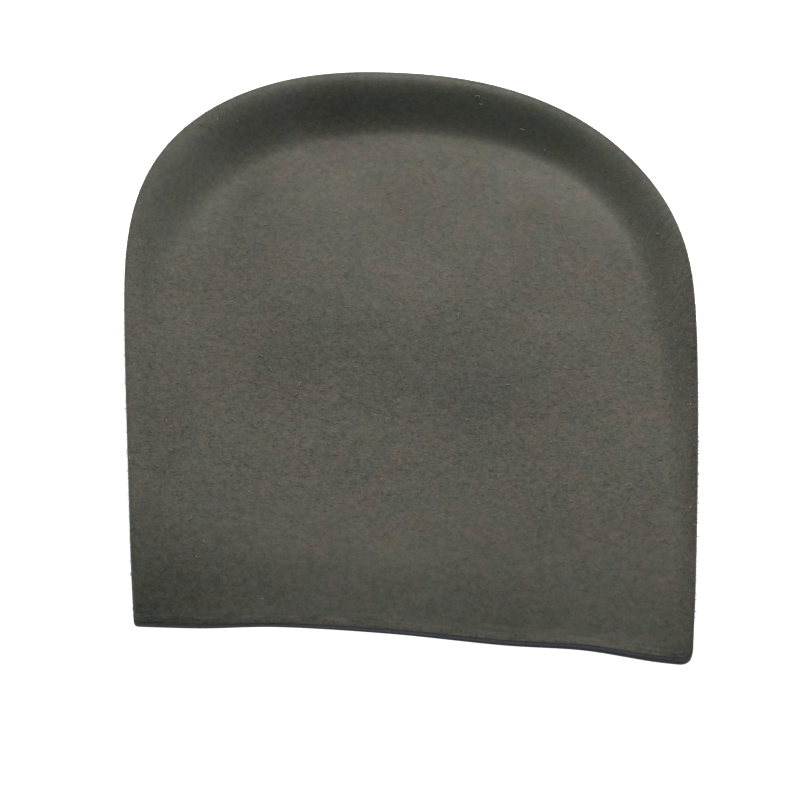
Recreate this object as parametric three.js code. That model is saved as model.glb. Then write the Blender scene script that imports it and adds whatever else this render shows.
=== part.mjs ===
// Heel pad worn inside a shoe: a moulded gel body with a raised rim round the heel,
// and a napped cloth cover that lies over the dish and the rim, out to the edge.
// Millimetres, +Z up. +Y points to the rounded heel end, -Y to the straight front edge,
// and the flat underside lies at Z = 0.
import * as THREE from 'three';

// Driving dimensions
const PAD_WIDTH = 64;
const PAD_LENGTH = 80;
const COVER_THICKNESS = 1.0;
const COVER_GAP = 0.15;
const COVER_SETBACK = 0.15;

// Heel outline: two superellipse quarters that meet at the apex
const HEEL_APEX_ACROSS = -3.5;
const LEFT_SQUARENESS = 2.24;
const RIGHT_SQUARENESS = 2.25;
const LEFT_WIDEST_ALONG = 10;
const RIGHT_WIDEST_ALONG = 1.5;

// Sides: each leaves the heel straight forward, then runs in towards the front by its taper
const LEFT_TAPER = 6.9;
const LEFT_BEND = 0.15;
const RIGHT_TAPER = 2.45;
const RIGHT_BEND = 0.5;

// Front edge, left to right: how far forward it reaches and how high the cover's edge stands
const FRONT_EDGE = [
  { across: -27, along: -37.3, height: 1.8 },
  { across: -19, along: -37.3, height: 1.8 },
  { across: -11, along: -36.85, height: 1.8 },
  { across: 0, along: -37.3, height: 1.95 },
  { across: 11, along: -38.3, height: 2.1 },
  { across: 19, along: -38.65, height: 2.2 },
  { across: 26, along: -39.8, height: 2.35 },
  { across: 31, along: -40.2, height: 2.4 },
];
const LEFT_CORNER_RADIUS = 0.8;
const RIGHT_CORNER_RADIUS = 1.7;
const SHARPEST_CORNER = 0.25;
const FRONT_ROLL_WIDTH = 7.5;

// Cross-sections, front to heel: height of the dish floor, inset of the rim's crest from the edge,
// and for each side the rise of the rim above the floor and the inset of its foot
const SECTIONS = [
  { along: -42, floor: 3.3, crest: 0.2, leftRise: 0.1, leftFoot: 4.8, rightRise: 0.5, rightFoot: 2.2 },
  { along: -28, floor: 4.0, crest: 0.2, leftRise: 0.3, leftFoot: 4.8, rightRise: 1.6, rightFoot: 2.8 },
  { along: -10, floor: 4.7, crest: 0.2, leftRise: 0.9, leftFoot: 4.9, rightRise: 2.9, rightFoot: 3.9 },
  { along: 6, floor: 5.15, crest: 0.3, leftRise: 2.5, leftFoot: 5.2, rightRise: 4.5, rightFoot: 5.2 },
  { along: 15, floor: 5.3, crest: 0.45, leftRise: 4.1, leftFoot: 5.9, rightRise: 4.6, rightFoot: 4.9 },
  { along: 25, floor: 5.4, crest: 0.9, leftRise: 5.0, leftFoot: 7.5, rightRise: 4.4, rightFoot: 4.8 },
  { along: 42, floor: 5.5, crest: 1.3, leftRise: 5.15, leftFoot: 7.8, rightRise: 4.85, rightFoot: 4.6 },
];

// Rim: its fall from the crest to the edge, as a share of its rise, and the soft rounding at the edge
const RIM_EDGE_DROP = 0.02;
const EDGE_ROLL_WIDTH = 0.6;
const EDGE_ROLL_DROP = 0.1;

// Shallow hollow in the middle of the dish, where the heel bears
const HOLLOW = { across: -1, along: 11, halfWidth: 17, halfLength: 19, depth: 0.7 };

// Outer wall of the gel below the cover, top to bottom: share of the wall's height that is left,
// and how far the wall tucks in from its widest line, as a share of that height
const WALL = [
  { left: 0.86, tuck: 0.02 },
  { left: 0.5, tuck: 0.0 },
  { left: 0.22, tuck: 0.05 },
  { left: 0.07, tuck: 0.16 },
  { left: 0.0, tuck: 0.32 },
];
const DEEPEST_TUCK = 3;

// Finishes: dark navy gel with a satin skin, grey-brown napped cloth
const GEL = { color: 0x26262e, roughness: 0.45, metalness: 0 };
const CLOTH = { color: 0x5a5952, roughness: 0.95, metalness: 0 };

// Ring spacing over the top: insets from the edge, then shares of the last ring's size
const TOP_INSETS = [COVER_SETBACK, 0.45, 0.9, 1.5, 2.1, 2.8, 3.6, 4.6, 5.6, 6.8, 9.5];
const INNER_SHARES = [0.8, 0.58, 0.36, 0.15];
const RING_STEPS = { heelQuarter: 20, side: 12, corner: 3, front: 14 };

// Working accuracy: halvings when a curve is read, passes when a corner is found,
// and half the span over which a slope of the upper face is measured
const CURVE_HALVINGS = 40;
const CORNER_PASSES = 8;
const SLOPE_REACH = 0.05;

const HALF_WIDTH = PAD_WIDTH / 2;
const HALF_LENGTH = PAD_LENGTH / 2;

function smooth(share) {
  const s = THREE.MathUtils.clamp(share, 0, 1);
  return s * s * (3 - 2 * s);
}

// Smooth curve through the rows of a table, read at a value of its first column
function tableCurve(rows, key, column) {
  const curve = new THREE.SplineCurve(rows.map((row) => new THREE.Vector2(row[key], row[column])));
  return (value) => {
    let low = 0;
    let high = 1;
    for (let halving = 0; halving < CURVE_HALVINGS; halving += 1) {
      const middle = (low + high) / 2;
      if (curve.getPoint(middle).x < value) low = middle;
      else high = middle;
    }
    return curve.getPoint(high).y;
  };
}

const frontAlong = tableCurve(FRONT_EDGE, 'across', 'along');
const frontHeight = tableCurve(FRONT_EDGE, 'across', 'height');
const floorHeight = tableCurve(SECTIONS, 'along', 'floor');
const rimCurves = {
  crest: tableCurve(SECTIONS, 'along', 'crest'),
  leftRise: tableCurve(SECTIONS, 'along', 'leftRise'),
  leftFoot: tableCurve(SECTIONS, 'along', 'leftFoot'),
  rightRise: tableCurve(SECTIONS, 'along', 'rightRise'),
  rightFoot: tableCurve(SECTIONS, 'along', 'rightFoot'),
};

// How far a side has run in, from 0 where it leaves the heel to 1 at the front
function taperShare(along, start, bend) {
  const share = Math.max(0, (start - along) / (start + HALF_LENGTH));
  return ((1 + bend) * share * share) / (share + bend);
}

function leftAcross(along) {
  return -HALF_WIDTH + LEFT_TAPER * taperShare(along, LEFT_WIDEST_ALONG, LEFT_BEND);
}

function rightAcross(along) {
  return HALF_WIDTH - RIGHT_TAPER * taperShare(along, RIGHT_WIDEST_ALONG, RIGHT_BEND);
}

// Point on a heel quarter, moved inwards along its normal. Turn runs from 0 at the side to 1 at the apex.
function heelPoint(side, turn, inset) {
  const widest = side < 0 ? LEFT_WIDEST_ALONG : RIGHT_WIDEST_ALONG;
  const reach = { across: HALF_WIDTH - side * HEEL_APEX_ACROSS, along: HALF_LENGTH - widest };
  const angle = (turn * Math.PI) / 2;
  const squareness = side < 0 ? LEFT_SQUARENESS : RIGHT_SQUARENESS;
  const u = Math.cos(angle) ** (2 / squareness);
  const v = Math.sin(angle) ** (2 / squareness);
  const normal = new THREE.Vector2(
    u ** (squareness - 1) / reach.across,
    v ** (squareness - 1) / reach.along,
  ).normalize();
  return new THREE.Vector2(
    HEEL_APEX_ACROSS + side * (u * reach.across - normal.x * inset),
    widest + v * reach.along - normal.y * inset,
  );
}

// Where a side and the front edge meet, once both have moved in by the inset
function frontCorner(sideAcross, side, inset) {
  const corner = new THREE.Vector2(sideAcross(-HALF_LENGTH) - side * inset, -HALF_LENGTH);
  for (let pass = 0; pass < CORNER_PASSES; pass += 1) {
    corner.y = frontAlong(corner.x) + inset;
    corner.x = sideAcross(corner.y) - side * inset;
  }
  return corner;
}

// A point of a ring keeps its distance to the side or heel edge, and to the front edge
function ringPoint(across, along, sideInset) {
  return { across, along, sideInset, frontInset: along - frontAlong(across) };
}

// Closed ring round the pad at an inset from its edge, anticlockwise seen from above,
// starting where the left side leaves the heel
function ring(inset) {
  const { heelQuarter, side, corner, front } = RING_STEPS;
  const leftCorner = frontCorner(leftAcross, -1, inset);
  const rightCorner = frontCorner(rightAcross, 1, inset);
  const leftRadius = Math.max(LEFT_CORNER_RADIUS - inset, SHARPEST_CORNER);
  const rightRadius = Math.max(RIGHT_CORNER_RADIUS - inset, SHARPEST_CORNER);
  const points = [];
  for (let step = 0; step < side; step += 1) {
    const along = THREE.MathUtils.lerp(LEFT_WIDEST_ALONG, leftCorner.y + leftRadius, step / side);
    points.push(ringPoint(leftAcross(along) + inset, along, inset));
  }
  points.push(...roundedCorner(leftCorner, leftAcross, -1, inset, leftRadius, corner));
  const frontStart = leftCorner.x + leftRadius;
  const frontEnd = rightCorner.x - rightRadius;
  for (let step = 1; step < front; step += 1) {
    const across = THREE.MathUtils.lerp(frontStart, frontEnd, step / front);
    const along = frontAlong(across) + inset;
    const sideInset = Math.min(across - leftAcross(along), rightAcross(along) - across);
    points.push(ringPoint(across, along, sideInset));
  }
  points.push(...roundedCorner(rightCorner, rightAcross, 1, inset, rightRadius, corner).reverse());
  for (let step = side - 1; step >= 0; step -= 1) {
    const along = THREE.MathUtils.lerp(RIGHT_WIDEST_ALONG, rightCorner.y + rightRadius, step / side);
    points.push(ringPoint(rightAcross(along) - inset, along, inset));
  }
  for (let step = 1; step <= heelQuarter; step += 1) {
    const point = heelPoint(1, step / heelQuarter, inset);
    points.push(ringPoint(point.x, point.y, inset));
  }
  for (let step = heelQuarter - 1; step >= 1; step -= 1) {
    const point = heelPoint(-1, step / heelQuarter, inset);
    points.push(ringPoint(point.x, point.y, inset));
  }
  return points;
}

// Rounded front corner, from the end of the side to the start of the front edge
function roundedCorner(corner, sideAcross, side, inset, radius, steps) {
  const onSide = new THREE.Vector2(sideAcross(corner.y + radius) - side * inset, corner.y + radius);
  const acrossFront = corner.x - side * radius;
  const onFront = new THREE.Vector2(acrossFront, frontAlong(acrossFront) + inset);
  const curve = new THREE.QuadraticBezierCurve(onSide, corner, onFront);
  return curve.getPoints(steps).map((point) => {
    const sideInset = side * (sideAcross(point.y) - point.x);
    return ringPoint(point.x, point.y, sideInset);
  });
}

// Ring shrunk towards the middle of the pad, well inside the rim
function shrunkRing(points, share) {
  return points.map((point) => {
    const across = point.across * share;
    const along = point.along * share;
    return ringPoint(across, along, HALF_WIDTH);
  });
}

// Rim cross-section: 1 at the crest, falling to 0 at the foot and a little towards the edge
function rimShape(inset, crest, foot) {
  if (inset < crest) {
    const outward = (crest - inset) / crest;
    return 1 - RIM_EDGE_DROP * outward * outward;
  }
  return 1 - smooth((inset - crest) / (foot - crest));
}

// Height of the rim above the dish floor, passing from its left side's sizes to its right side's
function rimHeight({ across, along, sideInset }) {
  const rightness = smooth(0.5 + across / PAD_WIDTH);
  const rise = THREE.MathUtils.lerp(rimCurves.leftRise(along), rimCurves.rightRise(along), rightness);
  const foot = THREE.MathUtils.lerp(rimCurves.leftFoot(along), rimCurves.rightFoot(along), rightness);
  return rise * rimShape(sideInset, rimCurves.crest(along), foot);
}

// Soft rounding of the cover where it meets the pad's edge
function edgeRoll(inset) {
  const outward = THREE.MathUtils.clamp(1 - inset / EDGE_ROLL_WIDTH, 0, 1);
  return EDGE_ROLL_DROP * outward * outward;
}

// Height of the cover's upper face
function topHeight(point) {
  const { across, along, sideInset, frontInset } = point;
  const hollowAcross = (across - HOLLOW.across) / HOLLOW.halfWidth;
  const hollowAlong = (along - HOLLOW.along) / HOLLOW.halfLength;
  const hollow = HOLLOW.depth * Math.exp(-hollowAcross * hollowAcross - hollowAlong * hollowAlong);
  const dish = floorHeight(along) - hollow + rimHeight(point);
  const front = frontHeight(across);
  const roll = Math.sin((Math.PI / 2) * THREE.MathUtils.clamp(frontInset / FRONT_ROLL_WIDTH, 0, 1));
  return front + (dish - front) * roll - edgeRoll(Math.min(sideInset, frontInset));
}

// Height of a layer that lies the given depth below the upper face, measured square to it
function layerHeight(point, depth) {
  const slope = (edge) => {
    const outer = topHeight({ ...point, [edge]: point[edge] - SLOPE_REACH });
    const inner = topHeight({ ...point, [edge]: point[edge] + SLOPE_REACH });
    return (inner - outer) / (2 * SLOPE_REACH);
  };
  return topHeight(point) - depth * Math.hypot(1, slope('sideInset'), slope('frontInset'));
}

// Layer of rings from the edge to the middle, at a depth below the upper face
function layer(depth) {
  const outer = TOP_INSETS.map(ring);
  const last = outer[outer.length - 1];
  const inner = INNER_SHARES.map((share) => shrunkRing(last, share));
  return [...outer, ...inner].map((points) => points.map((point) => (
    new THREE.Vector3(point.across, point.along, layerHeight(point, depth))
  )));
}

function middlePoint(depth) {
  return new THREE.Vector3(0, 0, layerHeight(ringPoint(0, 0, HALF_WIDTH), depth));
}

// Closed body lofted through rings of equal count, from a first middle point to a last one
function loftedBody(firstMiddle, rings, lastMiddle) {
  const count = rings[0].length;
  const vertices = [firstMiddle, ...rings.flat(), lastMiddle];
  const at = (row, step) => 1 + row * count + (step % count);
  const faces = [];
  for (let step = 0; step < count; step += 1) {
    faces.push(0, at(0, step), at(0, step + 1));
    for (let row = 0; row + 1 < rings.length; row += 1) {
      faces.push(at(row, step), at(row + 1, step), at(row + 1, step + 1));
      faces.push(at(row, step), at(row + 1, step + 1), at(row, step + 1));
    }
    faces.push(vertices.length - 1, at(rings.length - 1, step + 1), at(rings.length - 1, step));
  }
  const geometry = new THREE.BufferGeometry().setFromPoints(vertices);
  geometry.setIndex(faces);
  geometry.computeVertexNormals();
  return geometry;
}

// Cloth cover: upper face, cut edge, lower face
function topCover() {
  const rings = [...layer(0).reverse(), ...layer(COVER_THICKNESS)];
  return loftedBody(middlePoint(0), rings, middlePoint(COVER_THICKNESS));
}

// Rings down the gel's outer wall, from below its top edge to the underside
function wallRings(topEdge) {
  const widest = ring(0);
  const tucked = ring(DEEPEST_TUCK);
  return WALL.map(({ left, tuck }) => topEdge.map((top, step) => {
    const share = (tuck * top.z) / DEEPEST_TUCK;
    const across = THREE.MathUtils.lerp(widest[step].across, tucked[step].across, share);
    const along = THREE.MathUtils.lerp(widest[step].along, tucked[step].along, share);
    return new THREE.Vector3(across, along, top.z * left);
  }));
}

// Gel body: face under the cover, outer wall, flat underside
function gelBase() {
  const depth = COVER_THICKNESS + COVER_GAP;
  const upper = layer(depth);
  const rings = [...upper.toReversed(), ...wallRings(upper[0])];
  return loftedBody(middlePoint(depth), rings, new THREE.Vector3(0, 0, 0));
}

function piece(name, geometry, finish) {
  const mesh = new THREE.Mesh(geometry, new THREE.MeshStandardMaterial(finish));
  mesh.name = name;
  return mesh;
}

const heelPad = new THREE.Group();
heelPad.add(piece('gel_base', gelBase(), GEL));
heelPad.add(piece('top_cover', topCover(), CLOTH));

export default heelPad;
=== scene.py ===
"""Looks of a heel pad: a napped cloth cover laid over the dish of a moulded gel body, on a pale floor.

The pad lies in its CAD frame, in metres: +Y to the rounded heel end, -Y to the front edge, +Z up.
Sizes below are in millimetres and become metres when a mesh is made.
"""
import logging
import math
from dataclasses import dataclass, field
from enum import Enum
from typing import Any, Callable, NamedTuple, Sequence, Union

import bpy
import numpy as np
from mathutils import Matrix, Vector, noise
from mathutils.bvhtree import BVHTree


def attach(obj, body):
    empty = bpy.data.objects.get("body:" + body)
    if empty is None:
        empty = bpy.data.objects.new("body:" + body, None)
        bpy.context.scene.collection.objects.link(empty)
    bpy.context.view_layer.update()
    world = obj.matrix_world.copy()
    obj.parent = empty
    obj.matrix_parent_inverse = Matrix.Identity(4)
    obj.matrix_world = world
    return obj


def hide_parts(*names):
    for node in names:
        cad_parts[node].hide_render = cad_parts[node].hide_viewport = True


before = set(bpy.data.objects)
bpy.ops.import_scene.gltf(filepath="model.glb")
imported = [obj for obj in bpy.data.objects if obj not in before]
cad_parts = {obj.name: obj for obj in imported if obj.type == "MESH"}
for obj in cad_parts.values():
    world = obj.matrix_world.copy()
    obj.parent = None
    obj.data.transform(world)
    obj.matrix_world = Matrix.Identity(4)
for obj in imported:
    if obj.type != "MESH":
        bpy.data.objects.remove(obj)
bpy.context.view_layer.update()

LOG = logging.getLogger("heel_pad")
MM = 0.001
BODY = "root"
WHOLE = 100.0
SPAN_SAMPLES = 60
TINY = 1e-12
NOISE_MEAN = 0.5
INSET_COLUMNS = (2, 3)

Number = Union[float, "Wire"]
Colour = tuple[float, float, float, float]
WHITE: Colour = (1.0, 1.0, 1.0, 1.0)


class Slot(Enum):
    """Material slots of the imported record."""

    GEL = "gel"
    CLOTH = "cover_cloth"


class Side(Enum):
    """The two halves of the pad, as signs of the across axis."""

    LEFT = -1
    RIGHT = 1


class FrontRow(NamedTuple):
    """One point of the front edge: place across and along, and height of the cover's edge there."""

    across: float
    along: float
    height: float


class SectionRow(NamedTuple):
    """One cross-section of the dish: its floor, the rim's crest, and each side's rim rise and foot."""

    along: float
    floor: float
    crest: float
    left_rise: float
    left_foot: float
    right_rise: float
    right_foot: float


class WallRow(NamedTuple):
    """One level of the gel's wall: the height left below it and its tuck, as shares of the whole."""

    left: float
    tuck: float


class Patch(NamedTuple):
    """A broad soft patch of the pad: its middle, its half sizes, and how strong it is."""

    across: float
    along: float
    half_across: float
    half_along: float
    strength: float

    def weight(self, across: np.ndarray, along: np.ndarray) -> np.ndarray:
        """Return the strength of the patch at places on the pad."""
        return self.strength * np.exp(-((across - self.across) / self.half_across) ** 2
                                      - ((along - self.along) / self.half_along) ** 2)


class Band(NamedTuple):
    """A soft band of painted light along the rim, painted shade where it is negative: its place, its
    stretch, and how much lighter it makes the nap.
    """

    inset: float
    half_width: float
    along_from: float
    along_to: float
    across_from: float
    across_to: float
    lift: float

    def weight(self, across: np.ndarray, along: np.ndarray, side_inset: np.ndarray) -> np.ndarray:
        """Work out how much painted light the band puts on places on the pad.

        Args:
            across: their places across the pad.
            along: their places along it.
            side_inset: their distances to the side or heel edge.

        Returns:
            The painted light at each place, negative where it is painted shade.
        """
        profile = np.exp(-((side_inset - self.inset) / self.half_width) ** 2)
        stretch = span(along, self.along_from, self.along_to)
        return self.lift * profile * stretch * span(across, self.across_from, self.across_to)


class Steps(NamedTuple):
    """How many steps a ring takes along each stretch of the outline."""

    heel_quarter: int
    side: int
    corner: int
    front: int


class HalfForm(NamedTuple):
    """The outline of one half: its heel's squareness, and how its side runs in to the front corner."""

    squareness: float
    widest_along: float
    taper: float
    bend: float
    corner_radius: float


class Ease(NamedTuple):
    """A soft step: where it starts, and how far on it is complete. Negative reaches go down the axis."""

    start: float
    reach: float

    def at(self, values: np.ndarray) -> np.ndarray:
        """Return 0 before the step and 1 after it."""
        return smooth((values - self.start) / self.reach)


class Wave(NamedTuple):
    """A smooth random unevenness."""

    height: float
    wavelength: float
    seed: float

    def at(self, points: np.ndarray) -> np.ndarray:
        """Return the unevenness at points in millimetres."""
        return self.height * relief(points, self.wavelength, self.seed)


def smooth(share: np.ndarray) -> np.ndarray:
    """Return an eased share, 0 below 0 and 1 above 1."""
    s = np.clip(share, 0.0, 1.0)
    return s * s * (3.0 - 2.0 * s)


def span(values: np.ndarray, first: float, last: float, ease: float = 10.0) -> np.ndarray:
    """Return 1 between two places and 0 outside them, eased across each."""
    return smooth(0.5 + (values - first) / ease) * smooth(0.5 + (last - values) / ease)


def table_curve(rows: Sequence[NamedTuple], key: str, column: str) -> Callable[[np.ndarray], np.ndarray]:
    """Make a smooth curve through a table's rows.

    Args:
        rows: the table, in rising order of its key column.
        key: name of the column that the curve is read at.
        column: name of the column that the curve gives.

    Returns:
        A function from values of the key column to values of the other one.
    """
    points = np.array([(getattr(row, key), getattr(row, column)) for row in rows], float)
    padded = np.vstack([points[:1], points, points[-1:]])
    share = np.linspace(0.0, 1.0, SPAN_SAMPLES, endpoint=False)[:, None]
    spans = []
    for before, start, end, after in zip(padded, padded[1:], padded[2:], padded[3:]):
        leave, arrive = (end - before) / 2, (after - start) / 2
        cubic = 2 * start - 2 * end + leave + arrive
        square = -3 * start + 3 * end - 2 * leave - arrive
        spans.append(((cubic * share + square) * share + leave) * share + start)
    samples = np.vstack([*spans, points[-1:]])
    return lambda values: np.interp(values, samples[:, 0], samples[:, 1])


@dataclass(frozen=True)
class PadForm:
    """The pad's form, in millimetres: the sizes of its CAD solids, with crisper front corners."""

    width: float = 64.0
    length: float = 80.0
    heel_apex_across: float = -3.5
    left: HalfForm = HalfForm(squareness=2.24, widest_along=10.0, taper=6.9, bend=0.15, corner_radius=0.45)
    right: HalfForm = HalfForm(squareness=2.25, widest_along=1.5, taper=2.45, bend=0.5, corner_radius=1.25)
    sharpest_corner: float = 0.25
    corner_rounds: int = 8
    front_roll_width: float = 7.5
    rim_edge_drop: float = 0.02
    edge_roll_width: float = 0.6
    edge_roll_drop: float = 0.1
    hollow: Patch = Patch(across=-1.0, along=11.0, half_across=17.0, half_along=19.0, strength=0.7)
    slope_reach: float = 0.05
    front_rows: tuple[FrontRow, ...] = (
        FrontRow(-27, -37.3, 1.8),
        FrontRow(-19, -37.3, 1.8),
        FrontRow(-11, -36.85, 1.8),
        FrontRow(0, -37.3, 1.95),
        FrontRow(11, -38.3, 2.1),
        FrontRow(19, -38.65, 2.2),
        FrontRow(26, -39.8, 2.35),
        FrontRow(31, -40.2, 2.4),
    )
    section_rows: tuple[SectionRow, ...] = (
        SectionRow(-42, 3.3, 0.2, 0.1, 4.8, 0.5, 2.2),
        SectionRow(-28, 4.0, 0.2, 0.3, 4.8, 1.6, 2.8),
        SectionRow(-10, 4.7, 0.2, 0.9, 4.9, 2.9, 3.9),
        SectionRow(6, 5.15, 0.3, 2.5, 5.2, 4.5, 5.2),
        SectionRow(15, 5.3, 0.45, 4.1, 5.9, 4.6, 4.9),
        SectionRow(25, 5.4, 0.9, 5.0, 7.5, 4.4, 4.8),
        SectionRow(42, 5.5, 1.3, 5.15, 7.8, 4.85, 4.6),
    )
    curves: dict[str, Callable] = field(init=False, repr=False)

    def __post_init__(self) -> None:
        """Make the curves that the tables describe."""
        curves = {
            "front_along": table_curve(self.front_rows, "across", "along"),
            "front_height": table_curve(self.front_rows, "across", "height"),
        }
        for column in SectionRow._fields[1:]:
            curves[column] = table_curve(self.section_rows, "along", column)
        object.__setattr__(self, "curves", curves)

    def half(self, side: Side) -> HalfForm:
        """Return the sizes of one half."""
        return self.left if side is Side.LEFT else self.right

    def side_across(self, along: np.ndarray, side: Side) -> np.ndarray:
        """Work out how far across a side lies.

        Args:
            along: places along the pad.
            side: which side.

        Returns:
            The place across, for each place along.
        """
        half = self.half(side)
        share = np.maximum(0.0, (half.widest_along - along) / (half.widest_along + self.length / 2))
        run_in = half.taper * (1 + half.bend) * share * share / (share + half.bend)
        return side.value * (self.width / 2 - run_in)

    def side_run(self, side: Side, inset: float, end: float, steps: int) -> np.ndarray:
        """Lay points down a side, from its widest place to just before its end.

        Args:
            side: which side.
            inset: distance inwards from the edge.
            end: place along the pad where the side ends.
            steps: how many points to lay.

        Returns:
            One row of across and along for each point.
        """
        start = self.half(side).widest_along
        along = start + np.arange(steps) / steps * (end - start)
        return np.stack([self.side_across(along, side) - side.value * inset, along], axis=1)

    def heel_points(self, side: Side, turns: np.ndarray, inset: float) -> np.ndarray:
        """Points on a heel quarter, moved inwards along its normal.

        Args:
            side: which quarter.
            turns: shares of the way from the side to the apex.
            inset: distance inwards from the edge.

        Returns:
            One row of across and along for each turn.
        """
        squareness, widest = self.half(side)[:2]
        reach_across = self.width / 2 - side.value * self.heel_apex_across
        reach_along = self.length / 2 - widest
        angle = turns * math.pi / 2
        u = np.cos(angle) ** (2 / squareness)
        v = np.sin(angle) ** (2 / squareness)
        normal = np.stack([u ** (squareness - 1) / reach_across,
                           v ** (squareness - 1) / reach_along], axis=1)
        normal /= np.linalg.norm(normal, axis=1, keepdims=True)
        across = self.heel_apex_across + side.value * (u * reach_across - normal[:, 0] * inset)
        along = widest + v * reach_along - normal[:, 1] * inset
        return np.stack([across, along], axis=1)

    def front_corner(self, side: Side, inset: float) -> np.ndarray:
        """Find where a side and the front edge meet, once both have moved in.

        Args:
            side: which side.
            inset: distance inwards from both edges.

        Returns:
            The corner's place across and along.
        """
        along = -self.length / 2
        across = self.side_across(along, side) - side.value * inset
        for _ in range(self.corner_rounds):
            along = self.curves["front_along"](across) + inset
            across = self.side_across(along, side) - side.value * inset
        return np.array([across, along])

    def corner_points(self, side: Side, inset: float, radius: float, steps: int) -> np.ndarray:
        """Lay points round a front corner, from the end of the side to the start of the front edge.

        Args:
            side: which corner.
            inset: distance inwards from both edges.
            radius: how far from the corner its rounding starts.
            steps: how finely it is divided.

        Returns:
            One row of across and along for each point.
        """
        corner = self.front_corner(side, inset)
        along = corner[1] + radius
        across = corner[0] - side.value * radius
        on_side = np.array([self.side_across(along, side) - side.value * inset, along])
        on_front = np.array([across, self.curves["front_along"](across) + inset])
        t = np.linspace(0.0, 1.0, steps + 1)[:, None]
        return (1 - t) ** 2 * on_side + 2 * t * (1 - t) * corner + t * t * on_front

    def ring(self, inset: float, steps: Steps) -> np.ndarray:
        """Closed ring round the pad at an inset from its edge, anticlockwise seen from above.

        Args:
            inset: distance inwards from the pad's widest line.
            steps: how finely each stretch is divided.

        Returns:
            Rows of across, along, distance to the side or heel edge, distance to the front edge.
        """
        radius = {side: max(self.half(side).corner_radius - inset, self.sharpest_corner) for side in Side}
        corner = {side: self.front_corner(side, inset) for side in Side}
        side_end = {side: corner[side][1] + radius[side] for side in Side}
        run = {side: self.side_run(side, inset, side_end[side], steps.side) for side in Side}
        start = corner[Side.LEFT][0] + radius[Side.LEFT]
        end = corner[Side.RIGHT][0] - radius[Side.RIGHT]
        across = start + np.arange(1, steps.front) / steps.front * (end - start)
        front_run = np.stack([across, self.curves["front_along"](across) + inset], axis=1)
        turns = np.arange(1, steps.heel_quarter + 1) / steps.heel_quarter
        plan = np.vstack([
            run[Side.LEFT],
            self.corner_points(Side.LEFT, inset, radius[Side.LEFT], steps.corner),
            front_run,
            self.corner_points(Side.RIGHT, inset, radius[Side.RIGHT], steps.corner)[::-1],
            run[Side.RIGHT][::-1],
            self.heel_points(Side.RIGHT, turns, inset),
            self.heel_points(Side.LEFT, turns[:-1][::-1], inset),
        ])
        front_end = len(plan) - steps.side - 2 * steps.heel_quarter + 1
        return self.with_insets(plan, inset, steps.side, front_end)

    def with_insets(self, plan: np.ndarray, inset: float, first: int, last: int) -> np.ndarray:
        """Add each point's distances to the side and front edges.

        Args:
            plan: rows of across and along.
            inset: the distance to the side or heel edge of points outside the front stretch.
            first: first point of the front stretch, which has distances of its own.
            last: end of that stretch.

        Returns:
            The rows with the two distances added.
        """
        across, along = plan[:, 0], plan[:, 1]
        side_inset = np.full(len(plan), float(inset))
        front = slice(first, last)
        side_inset[front] = np.minimum(across[front] - self.side_across(along[front], Side.LEFT),
                                       self.side_across(along[front], Side.RIGHT) - across[front])
        front_inset = along - self.curves["front_along"](across)
        return np.stack([across, along, side_inset, front_inset], axis=1)

    def shrunk(self, ring: np.ndarray, share: float) -> np.ndarray:
        """Shrink a ring towards the middle of the pad, well inside the rim.

        Args:
            ring: rows of across, along, distance to the side or heel edge, distance to the front edge.
            share: the new size, as a share of the old one.

        Returns:
            The smaller ring, in the same columns.
        """
        plan = ring[:, :2] * share
        front_inset = plan[:, 1] - self.curves["front_along"](plan[:, 0])
        far = np.full(len(plan), self.width / 2)
        return np.column_stack([plan, far, front_inset])

    def rim_height(self, ring: np.ndarray) -> np.ndarray:
        """Work out the height of the rim above the dish floor, from its left sizes to its right ones.

        Args:
            ring: rows of across, along, distance to the side or heel edge, distance to the front edge.

        Returns:
            The height at each point.
        """
        across, along, side_inset, _ = ring.T
        rightness = smooth(0.5 + across / self.width)
        rise, foot = ((1 - rightness) * self.curves[f"left_{size}"](along)
                      + rightness * self.curves[f"right_{size}"](along) for size in ("rise", "foot"))
        crest = self.curves["crest"](along)
        outward = np.clip((crest - side_inset) / crest, 0, None)
        inner = smooth((side_inset - crest) / (foot - crest))
        return rise * (1 - self.rim_edge_drop * outward ** 2 - inner)

    def top_height(self, ring: np.ndarray) -> np.ndarray:
        """Work out the height of the cover's upper face.

        Args:
            ring: rows of across, along, distance to the side or heel edge, distance to the front edge.

        Returns:
            The height at each point.
        """
        across, along, side_inset, front_inset = ring.T
        dish = self.curves["floor"](along) - self.hollow.weight(across, along) + self.rim_height(ring)
        front = self.curves["front_height"](across)
        roll = np.sin(math.pi / 2 * np.clip(front_inset / self.front_roll_width, 0, 1))
        edge = np.clip(1 - np.minimum(side_inset, front_inset) / self.edge_roll_width, 0, 1)
        return front + (dish - front) * roll - self.edge_roll_drop * edge ** 2

    def layer_height(self, ring: np.ndarray, depth: float) -> np.ndarray:
        """Work out the height of a layer below the upper face.

        Args:
            ring: rows of across, along, distance to the side or heel edge, distance to the front edge.
            depth: how far below the face the layer lies, square to it.

        Returns:
            The height at each point.
        """
        slopes = []
        for column in INSET_COLUMNS:
            reach = np.zeros(ring.shape[1])
            reach[column] = self.slope_reach
            rise = self.top_height(ring + reach) - self.top_height(ring - reach)
            slopes.append(rise / (2 * self.slope_reach))
        return self.top_height(ring) - depth * np.sqrt(1 + slopes[0] ** 2 + slopes[1] ** 2)

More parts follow.
